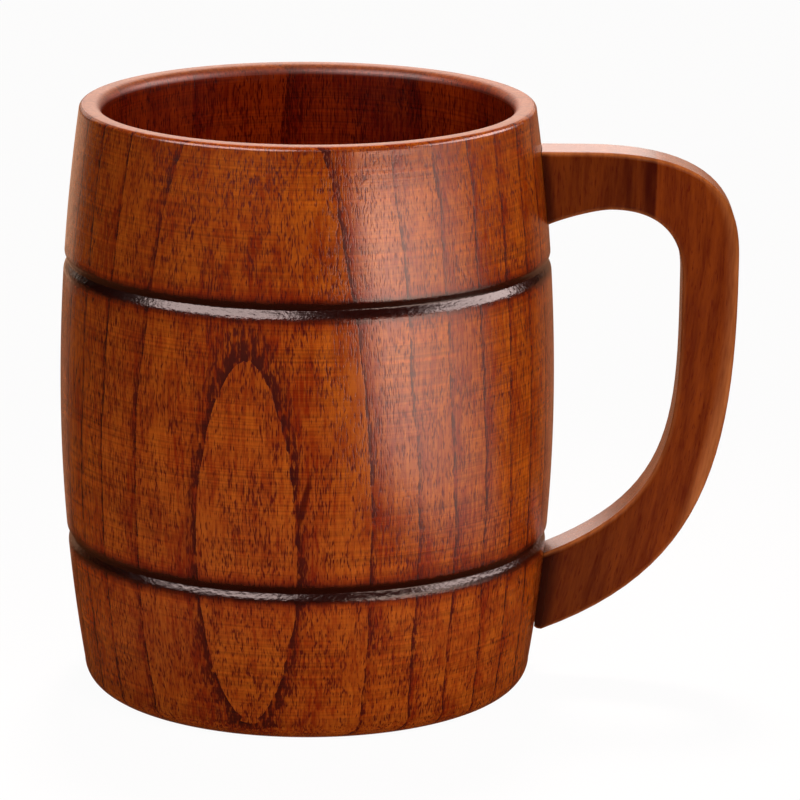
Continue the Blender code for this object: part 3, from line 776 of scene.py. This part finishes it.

# The wood is painted darker towards the barrel, a painted shade between the handle and the barrel.
# The gap in mm to its side comes from the side's own curve.
ARM_PAINTED_SHADE = 0.72
ARM_PAINTED_SHADE_REACH = (8.0, 24.0)
level = add(tree, "ShaderNodeMath", {0: axes.outputs["Z"], 1: BELLY_HEIGHT / MM}, operation="SUBTRACT")
above_belly = add(tree, "ShaderNodeMath", {0: level, 1: 0.0}, operation="GREATER_THAN")
upper_swell = (BELLY_RADIUS - RIM_RADIUS) * MM / (RIM_HEIGHT - BELLY_HEIGHT) ** 2
lower_swell = (BELLY_RADIUS - FOOT_RADIUS) * MM / BELLY_HEIGHT ** 2
swell = {"Value": above_belly, "To Min": lower_swell, "To Max": upper_swell}
swell = add(tree, "ShaderNodeMapRange", swell)
level = add(tree, "ShaderNodeMath", {0: level, 1: 2.0}, operation="POWER")
side = add(tree, "ShaderNodeMath", {0: level, 1: swell}, operation="MULTIPLY")
flat = add(tree, "ShaderNodeVectorMath", {0: place, 1: (1.0, 1.0, 0.0)}, operation="MULTIPLY")
reach = add(tree, "ShaderNodeVectorMath", {0: flat}, operation="LENGTH").outputs["Value"]
gap = add(tree, "ShaderNodeMath", {0: reach, 1: side}, operation="ADD")
gap = add(tree, "ShaderNodeMath", {0: gap, 1: BELLY_RADIUS / MM}, operation="SUBTRACT")
shade = {"Value": gap, "From Min": ARM_PAINTED_SHADE_REACH[0], "From Max": ARM_PAINTED_SHADE_REACH[1], "To Min": ARM_PAINTED_SHADE}
shade = add(tree, "ShaderNodeMapRange", shade, interpolation_type="SMOOTHSTEP")
colour = add(tree, "ShaderNodeHueSaturation", {"Value": shade, "Color": colour})

# The outside of the grip and every rounded edge are painted golden, and the narrow sides between the
# edges less: painted light from the right and painted highlights on the edges, besides some wear from
# hands. The grip's outer line is followed by two curves that meet at its bulge.
WORN_AND_LIT_LIGHT = "#c5854c"
WORN_AND_LIT_DEEP = "#985a28"
GRIP_LIGHT_AND_WEAR = 0.65
EDGE_HIGHLIGHT_AND_WEAR = 0.5
SIDE_LIGHT_AND_WEAR = 0.45
GRIP_LIGHT_REACH = 3.0
ROUNDED_FACING = (0.99, 0.7)
SIDE_FACING = 0.5
GRIP_BULGE = 79.0
GRIP_BEND = 0.0038
SHOULDER_BEND = 0.000036
grip_edge = GRIP_OUTER / MM
facing = add(tree, "ShaderNodeSeparateXYZ", {"Vector": coordinates.outputs["Normal"]}).outputs["Y"]
facing = add(tree, "ShaderNodeMath", {0: facing}, operation="ABSOLUTE")
bulge = add(tree, "ShaderNodeMath", {0: axes.outputs["Z"], 1: GRIP_BULGE}, operation="SUBTRACT")
above_bulge = add(tree, "ShaderNodeMath", {0: bulge, 1: 0.0}, operation="GREATER_THAN")
bulge = add(tree, "ShaderNodeMath", {0: bulge, 1: 2.0}, operation="POWER")
tighter = add(tree, "ShaderNodeMath", {0: bulge, 1: SHOULDER_BEND}, operation="MULTIPLY")
bend = add(tree, "ShaderNodeMapRange", {"Value": above_bulge, "To Min": GRIP_BEND, "To Max": tighter})
outward = {0: bulge, 1: bend, 2: axes.outputs["X"]}
outward = add(tree, "ShaderNodeMath", outward, operation="MULTIPLY_ADD")
wear_and_light = {"Value": outward, "From Min": grip_edge - GRIP_LIGHT_REACH, "From Max": grip_edge, "To Max": GRIP_LIGHT_AND_WEAR}
wear_and_light = add(tree, "ShaderNodeMapRange", wear_and_light, interpolation_type="SMOOTHSTEP")
edges = {"Value": facing, "From Min": ROUNDED_FACING[0], "From Max": ROUNDED_FACING[1], "To Max": EDGE_HIGHLIGHT_AND_WEAR}
edges = add(tree, "ShaderNodeMapRange", edges)
wear_and_light = add(tree, "ShaderNodeMath", {0: wear_and_light, 1: edges}, operation="MAXIMUM")
sides = {"Value": facing, "From Max": SIDE_FACING, "To Min": SIDE_LIGHT_AND_WEAR, "To Max": 1.0}
sides = add(tree, "ShaderNodeMapRange", sides)
wear_and_light = add(tree, "ShaderNodeMath", {0: wear_and_light, 1: sides}, operation="MULTIPLY")
blend = {"Factor": tone, "A": linear(WORN_AND_LIT_DEEP), "B": linear(WORN_AND_LIT_LIGHT)}
worn_and_lit_wood = add(tree, "ShaderNodeMix", blend, data_type="RGBA")
blend = {"Factor": wear_and_light, "A": colour, "B": worn_and_lit_wood}
colour = add(tree, "ShaderNodeMix", blend, data_type="RGBA")

# The two faces are painted almost black in the corners against the barrel, most of all at the foot:
# painted shade in the corners, with some dark stain pooled in the joint.
POOL_AND_SHADE_COLOUR = "#260501"
POOL_AND_SHADE_REACH = (4.6, 2.2)
POOL_AND_SHADE_DEPTH = (1.0, 0.75)
POOL_AND_SHADE_CORE = 0.4
FACE_FACING = (0.5, 0.95)
high_up = {"Value": axes.outputs["Z"], "From Min": LOWER_END / MM, "From Max": UPPER_END / MM}
pool_and_shade_reach = add(tree, "ShaderNodeMapRange", {**high_up, "To Min": POOL_AND_SHADE_REACH[0], "To Max": POOL_AND_SHADE_REACH[1]})
pool_and_shade_depth = add(tree, "ShaderNodeMapRange", {**high_up, "To Min": POOL_AND_SHADE_DEPTH[0], "To Max": POOL_AND_SHADE_DEPTH[1]})
pool_and_shade = {"Value": gap, "From Min": pool_and_shade_reach, "From Max": POOL_AND_SHADE_CORE, "To Max": pool_and_shade_depth}
pool_and_shade = add(tree, "ShaderNodeMapRange", pool_and_shade, interpolation_type="SMOOTHSTEP")
on_face = {"Value": facing, "From Min": FACE_FACING[0], "From Max": FACE_FACING[1]}
on_face = add(tree, "ShaderNodeMapRange", on_face)
pool_and_shade = add(tree, "ShaderNodeMath", {0: pool_and_shade, 1: on_face}, operation="MULTIPLY")
blend = {"Factor": pool_and_shade, "A": colour, "B": linear(POOL_AND_SHADE_COLOUR)}
colour = add(tree, "ShaderNodeMix", blend, data_type="RGBA")
lacquer = lacquer_over(tree, open_grain, HANDLE_ROUGHNESS, HANDLE_PORE_DEPTH)
lay_finish(tree, shader, colour, *lacquer)
handle.data.materials.clear()
handle.data.materials.append(handle_wood)
finish_piece(handle, "handle")
weighted = handle.modifiers.new("flat_faces", "WEIGHTED_NORMAL")
weighted.keep_sharp = True
bpy.ops.object.modifier_apply(modifier=weighted.name)


# The dowels: two plain pins, glued into the handle's ends and the barrel's wall, out of sight. They are
# bare beech, pale and dull, with short flecks along the grain.
DOWEL_LIGHT = "#d6ab7c"
DOWEL_DEEP = "#b98a5c"
DOWEL_ROUGHNESS = (0.55, 0.7)
DOWEL_FLECK_SIZE = (3.0, 0.3, 0.3)
DOWEL_FLECK_LEVELS = (0.35, 0.65)
DOWEL_FLECK_HEIGHT = 0.01
dowel_wood, tree, shader = new_material("plain_beech")
seat = add(tree, "ShaderNodeTexCoord", {}).outputs["Object"]
place = add(tree, "ShaderNodeMapping", {"Vector": seat, "Scale": PER_MM})
flecks = fibres(tree, place, DOWEL_FLECK_SIZE, DOWEL_FLECK_LEVELS)
blend = {"Factor": flecks, "A": linear(DOWEL_DEEP), "B": linear(DOWEL_LIGHT)}
colour = add(tree, "ShaderNodeMix", blend, data_type="RGBA")
dull = {"Value": flecks, "To Min": DOWEL_ROUGHNESS[0], "To Max": DOWEL_ROUGHNESS[1]}
roughness = add(tree, "ShaderNodeMapRange", dull)
height = add(tree, "ShaderNodeMath", {0: flecks, 1: DOWEL_FLECK_HEIGHT}, operation="MULTIPLY")
lay_finish(tree, shader, colour, roughness, height)
for dowel_name in DOWELS:
    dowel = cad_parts[dowel_name]
    dowel.data.materials.clear()
    dowel.data.materials.append(dowel_wood)


# The studio's floor: a white sheet under the mug that keeps a faint shadow. The camera and reflections
# see it almost white, and it throws plain light back.
FLOOR_SIZE = 8.0
FLOOR_PAINT = "#f2f2f2"
FLOOR_GLOW = 0.96


def shows_white(tree):
    """The light path, and 1 for the rays that show the white studio or 0 for those that carry its light."""
    path = add(tree, "ShaderNodeLightPath", {})
    seen = {0: path.outputs["Is Camera Ray"], 1: path.outputs["Is Glossy Ray"]}
    seen = add(tree, "ShaderNodeMath", seen, operation="MAXIMUM")
    seen = {0: seen, 1: path.outputs["Is Transmission Ray"]}
    return path, add(tree, "ShaderNodeMath", seen, operation="MAXIMUM")


bpy.ops.mesh.primitive_plane_add(size=FLOOR_SIZE)
floor = bpy.context.object
floor.name = "floor"
floor_paint = bpy.data.materials.new("white_floor")
floor_paint.use_nodes = True
tree = floor_paint.node_tree
tree.nodes.clear()
_, seen = shows_white(tree)
share = add(tree, "ShaderNodeMath", {0: seen, 1: FLOOR_GLOW}, operation="MULTIPLY")
paint = add(tree, "ShaderNodeBsdfDiffuse", {"Color": linear(FLOOR_PAINT)})
glow = add(tree, "ShaderNodeEmission", {"Color": linear("#ffffff"), "Strength": 1.0})
mixed = add(tree, "ShaderNodeMixShader", {0: share, 1: paint, 2: glow})
add(tree, "ShaderNodeOutputMaterial", {"Surface": mixed})
floor.data.materials.append(floor_paint)


# A dark tent round the front and overhead keeps the glare of the white room off the mug. Its back
# stays open low down, so that edges and the rim still catch the white. Like the pieces after it, it
# is drawn as a section in metres, radius and height, and is seen only in reflections.
TENT_WALL = [(1.3, 0.0005), (1.3, 0.8)]
TENT_ROOF = [(1.3, 0.8), (0.8, 1.5), (0.1, 1.7)]
TENT_SWEEP = math.radians(286)
TENT_TURN = math.radians(5)
TENT_BLACK = "#0c0c0c"


def only_reflected(piece, material):
    """Makes a stage piece that reflections see, and the camera and the light don't."""
    piece.data.materials.clear()
    piece.data.materials.append(material)
    piece.visible_camera = False
    piece.visible_diffuse = False
    piece.visible_transmission = False
    piece.visible_shadow = False


tent_wall = turn_on_lathe("tent_wall", TENT_WALL, TENT_SWEEP)
tent_wall.rotation_euler = (0.0, 0.0, TENT_SWEEP / 2 - math.pi / 2 + TENT_TURN)
tent_roof = turn_on_lathe("tent_roof", TENT_ROOF)
black_cloth, _, shader = new_material("black_cloth")
shader.inputs["Base Color"].default_value = linear(TENT_BLACK)
shader.inputs["Roughness"].default_value = 1.0
shader.inputs["Specular IOR Level"].default_value = 0.0
only_reflected(tent_wall, black_cloth)
only_reflected(tent_roof, black_cloth)


# A brown table top round the foot warms what the mug's sides mirror, and its raised edge hides the
# foot of the white wall behind. It glows in its own colour, so no lamp has to light it.
TABLE_SECTION = [(0.0396, 0.0005), (1.29, 0.0005), (1.29, 0.18)]
TABLE_BROWN = "#6b3c22"


def glowing(name, colour):
    """A material that only glows, in a colour as it is written."""
    material, _, shader = new_material(name)
    shader.inputs["Base Color"].default_value = linear("#000000")
    shader.inputs["Specular IOR Level"].default_value = 0.0
    shader.inputs["Emission Color"].default_value = linear(colour)
    shader.inputs["Emission Strength"].default_value = 1.0
    return material


table = turn_on_lathe("table_top", TABLE_SECTION)
only_reflected(table, glowing("brown_table", TABLE_BROWN))

# A paler runner on the table behind the mug, and up its edge, shows in the barrel's outer edges.
RUNNER_SECTION = [(0.05, 0.0008), (1.28, 0.0008), (1.28, 0.18)]
RUNNER_SWEEP = math.radians(93)
RUNNER_TURN = math.radians(1)
RUNNER_TAN = "#a97457"
runner = turn_on_lathe("table_runner", RUNNER_SECTION, RUNNER_SWEEP)
runner.rotation_euler = (0.0, 0.0, RUNNER_SWEEP / 2 + math.pi / 2 - RUNNER_TURN)
only_reflected(runner, glowing("pale_runner", RUNNER_TAN))

# A pale card lies on it at the left, further off, and shows in the barrel's left edge near the rim.
CARD_SECTION = [(0.40, 0.0011), (1.20, 0.0011)]
CARD_SWEEP = math.radians(32)
CARD_TURN = math.radians(132)
CARD_PINK = "#f3b691"
card = turn_on_lathe("pale_card", CARD_SECTION, CARD_SWEEP)
card.rotation_euler = (0.0, 0.0, CARD_TURN)
only_reflected(card, glowing("pale_paper", CARD_PINK))


# A window stands low at the right: a bright slanting card that fades to its right and to its foot,
# and draws the soft stripe down the barrel. Its light falls on the barrel alone.
WINDOW_SECTION = [(0.12, 0.001), (0.24, 0.003), (0.40, 0.130)]
WINDOW_SWEEP = math.radians(100)
WINDOW_GLOW = 7.6
WINDOW_TINT = "#ffe2d2"
WINDOW_LEFT = (0.070, 0.125)
WINDOW_LEFT_SLANT = 0.14
WINDOW_RIGHT = (math.radians(-1), math.radians(-50))
WINDOW_RIGHT_SLANT = 1.6
WINDOW_RIGHT_REACH = 0.3
WINDOW_FOOT = (0.10, 0.33)
WINDOW_FOOT_GLOW = 0.05
window = turn_on_lathe("window_card", WINDOW_SECTION, WINDOW_SWEEP)
window_light = glowing("window_light", WINDOW_TINT)
tree = window_light.node_tree
shader = tree.nodes["Principled BSDF"]
seat = add(tree, "ShaderNodeTexCoord", {}).outputs["Object"]
axes = add(tree, "ShaderNodeSeparateXYZ", {"Vector": seat})
slant = (1.0, WINDOW_LEFT_SLANT, 0.0)
aside = add(tree, "ShaderNodeVectorMath", {0: seat, 1: slant}, operation="DOT_PRODUCT").outputs["Value"]
left_edge = {"Value": aside, "From Min": WINDOW_LEFT[0], "From Max": WINDOW_LEFT[1]}
left_edge = add(tree, "ShaderNodeMapRange", left_edge)
flat = add(tree, "ShaderNodeVectorMath", {0: seat, 1: (1.0, 1.0, 0.0)}, operation="MULTIPLY")
away = add(tree, "ShaderNodeVectorMath", {0: flat}, operation="LENGTH").outputs["Value"]
foot_fade = {"Value": away, "From Min": WINDOW_FOOT[0], "From Max": WINDOW_FOOT[1]}
foot_fade = add(tree, "ShaderNodeMapRange", {**foot_fade, "To Min": WINDOW_FOOT_GLOW})
turn = add(tree, "ShaderNodeMath", {0: axes.outputs["Y"], 1: axes.outputs["X"]}, operation="ARCTAN2")
further = add(tree, "ShaderNodeMath", {0: away, 1: WINDOW_RIGHT_REACH}, operation="SUBTRACT")
turn = add(tree, "ShaderNodeMath", {0: further, 1: WINDOW_RIGHT_SLANT, 2: turn}, operation="MULTIPLY_ADD")
right_fade = {"Value": turn, "From Min": WINDOW_RIGHT[0], "From Max": WINDOW_RIGHT[1]}
right_fade = add(tree, "ShaderNodeMapRange", right_fade)
glow = add(tree, "ShaderNodeMath", {0: left_edge, 1: right_fade}, operation="MULTIPLY")
glow = add(tree, "ShaderNodeMath", {0: glow, 1: foot_fade}, operation="MULTIPLY")
glow = add(tree, "ShaderNodeMath", {0: glow, 1: WINDOW_GLOW}, operation="MULTIPLY")
tree.links.new(glow.outputs[0], shader.inputs["Emission Strength"])
only_reflected(window, window_light)
barrel_alone = bpy.data.collections.new("barrel_alone")
barrel_alone.objects.link(barrel)
window.light_linking.receiver_collection = barrel_alone


# The lamps: one broad light at the front right gives most of the light. The others only give gloss:
# two behind for the rim, and one at each side, on the barrel alone, that makes its grooves glint.
LAMP_WHITE = "#ffe5e0"


def soft_light(name, turn, rise, distance, size, power, shines):
    """A rectangular light, placed by its turn from the front and its rise in degrees, for fill or gloss."""
    turn = math.radians(turn)
    rise = math.radians(rise)
    middle = Vector((0.0, 0.0, RIM_HEIGHT / 2))
    away = Vector((math.sin(turn) * math.cos(rise), -math.cos(turn) * math.cos(rise), math.sin(rise)))
    bpy.ops.object.light_add(type="AREA", location=middle + distance * away)
    lamp = bpy.context.object
    lamp.name = name
    lamp.rotation_euler = (-away).to_track_quat("-Z", "Y").to_euler()
    lamp.data.shape = "RECTANGLE"
    lamp.data.size, lamp.data.size_y = size
    lamp.data.energy = power
    lamp.data.color = linear(LAMP_WHITE)[:3]
    lamp.visible_camera = False
    lamp.visible_diffuse = shines == "fill"
    lamp.visible_glossy = shines == "gloss"
    return lamp


soft_light("key", turn=30, rise=38, distance=1.1, size=(0.7, 0.7), power=7.6, shines="fill")
soft_light("back", turn=182, rise=18, distance=1.1, size=(0.5, 0.4), power=1.0, shines="gloss")
soft_light("back_high", turn=182, rise=43, distance=1.1, size=(0.5, 0.5), power=2.5, shines="gloss")
glints = [
    soft_light("left_glint", turn=-44, rise=36, distance=0.8, size=(0.94, 0.44), power=12.5, shines="gloss"),
    soft_light("right_glint", turn=92, rise=24, distance=0.8, size=(0.85, 0.36), power=9.0, shines="gloss"),
]
for glint in glints:
    glint.light_linking.receiver_collection = barrel_alone

# A narrow spotlight above lights the rim and the top of the handle, and leaves the floor alone.
SPOT_RISE = math.radians(68)
SPOT_DISTANCE = 1.0
SPOT_ASIDE = 0.015
SPOT_CONE = math.radians(18)
SPOT_EDGE = 0.25
SPOT_SIZE = 0.1
SPOT_POWER = 45.0
spot_away = Vector((0.0, math.cos(SPOT_RISE), math.sin(SPOT_RISE)))
spot_place = Vector((SPOT_ASIDE, 0.0, RIM_HEIGHT)) + SPOT_DISTANCE * spot_away
bpy.ops.object.light_add(type="SPOT", location=spot_place)
spot = bpy.context.object
spot.name = "top"
spot.rotation_euler = (SPOT_RISE - math.pi / 2, 0.0, 0.0)
spot.data.spot_size = SPOT_CONE
spot.data.spot_blend = SPOT_EDGE
spot.data.shadow_soft_size = SPOT_SIZE
spot.data.energy = SPOT_POWER
spot.data.color = linear(LAMP_WHITE)[:3]
spot.visible_glossy = False


# The room round the mug: white where the camera sees it, a little warm in reflections, and otherwise
# a dim warm light from all sides.
ROOM_LIGHT = 0.25
ROOM_WARM = "#ffd2b4"
ROOM_WHITE = "#ffffff"
ROOM_GLOSS = "#ffecdc"
world = bpy.context.scene.world or bpy.data.worlds.new("studio")
bpy.context.scene.world = world
world.use_nodes = True
tree = world.node_tree
tree.nodes.clear()
path, seen = shows_white(tree)
glow = add(tree, "ShaderNodeMapRange", {"Value": seen, "To Min": ROOM_LIGHT, "To Max": 1.0})
tint = {"Factor": seen, "A": linear(ROOM_WARM), "B": linear(ROOM_WHITE)}
tint = add(tree, "ShaderNodeMix", tint, data_type="RGBA")
tint = {"Factor": path.outputs["Is Glossy Ray"], "A": tint, "B": linear(ROOM_GLOSS)}
tint = add(tree, "ShaderNodeMix", tint, data_type="RGBA")
sky = add(tree, "ShaderNodeBackground", {"Color": tint, "Strength": glow})
add(tree, "ShaderNodeOutputWorld", {"Surface": sky})


# The camera: a long lens, nearly a metre off and a little above the mug, at the photograph's view and
# with its slight roll.
CAMERA_TARGET = Vector((17.6 * MM, 0.0, 54.6 * MM))
CAMERA_DISTANCE = 900.0 * MM
CAMERA_TILT = 0.2525
CAMERA_ROLL = 0.0071
CAMERA_LENS = 213.04
CAMERA_SENSOR = 36.0

away = Vector((0.0, -math.cos(CAMERA_TILT), math.sin(CAMERA_TILT)))
turn = Matrix.Rotation(math.pi / 2 - CAMERA_TILT, 3, "X") @ Matrix.Rotation(CAMERA_ROLL, 3, "Z")
bpy.ops.object.camera_add(location=CAMERA_TARGET + CAMERA_DISTANCE * away, rotation=turn.to_euler())
camera = bpy.context.object
camera.name = "photo_camera"
camera.data.sensor_width = CAMERA_SENSOR
camera.data.lens = CAMERA_LENS
bpy.context.scene.camera = camera
bpy.context.scene.view_settings.view_transform = "Standard"
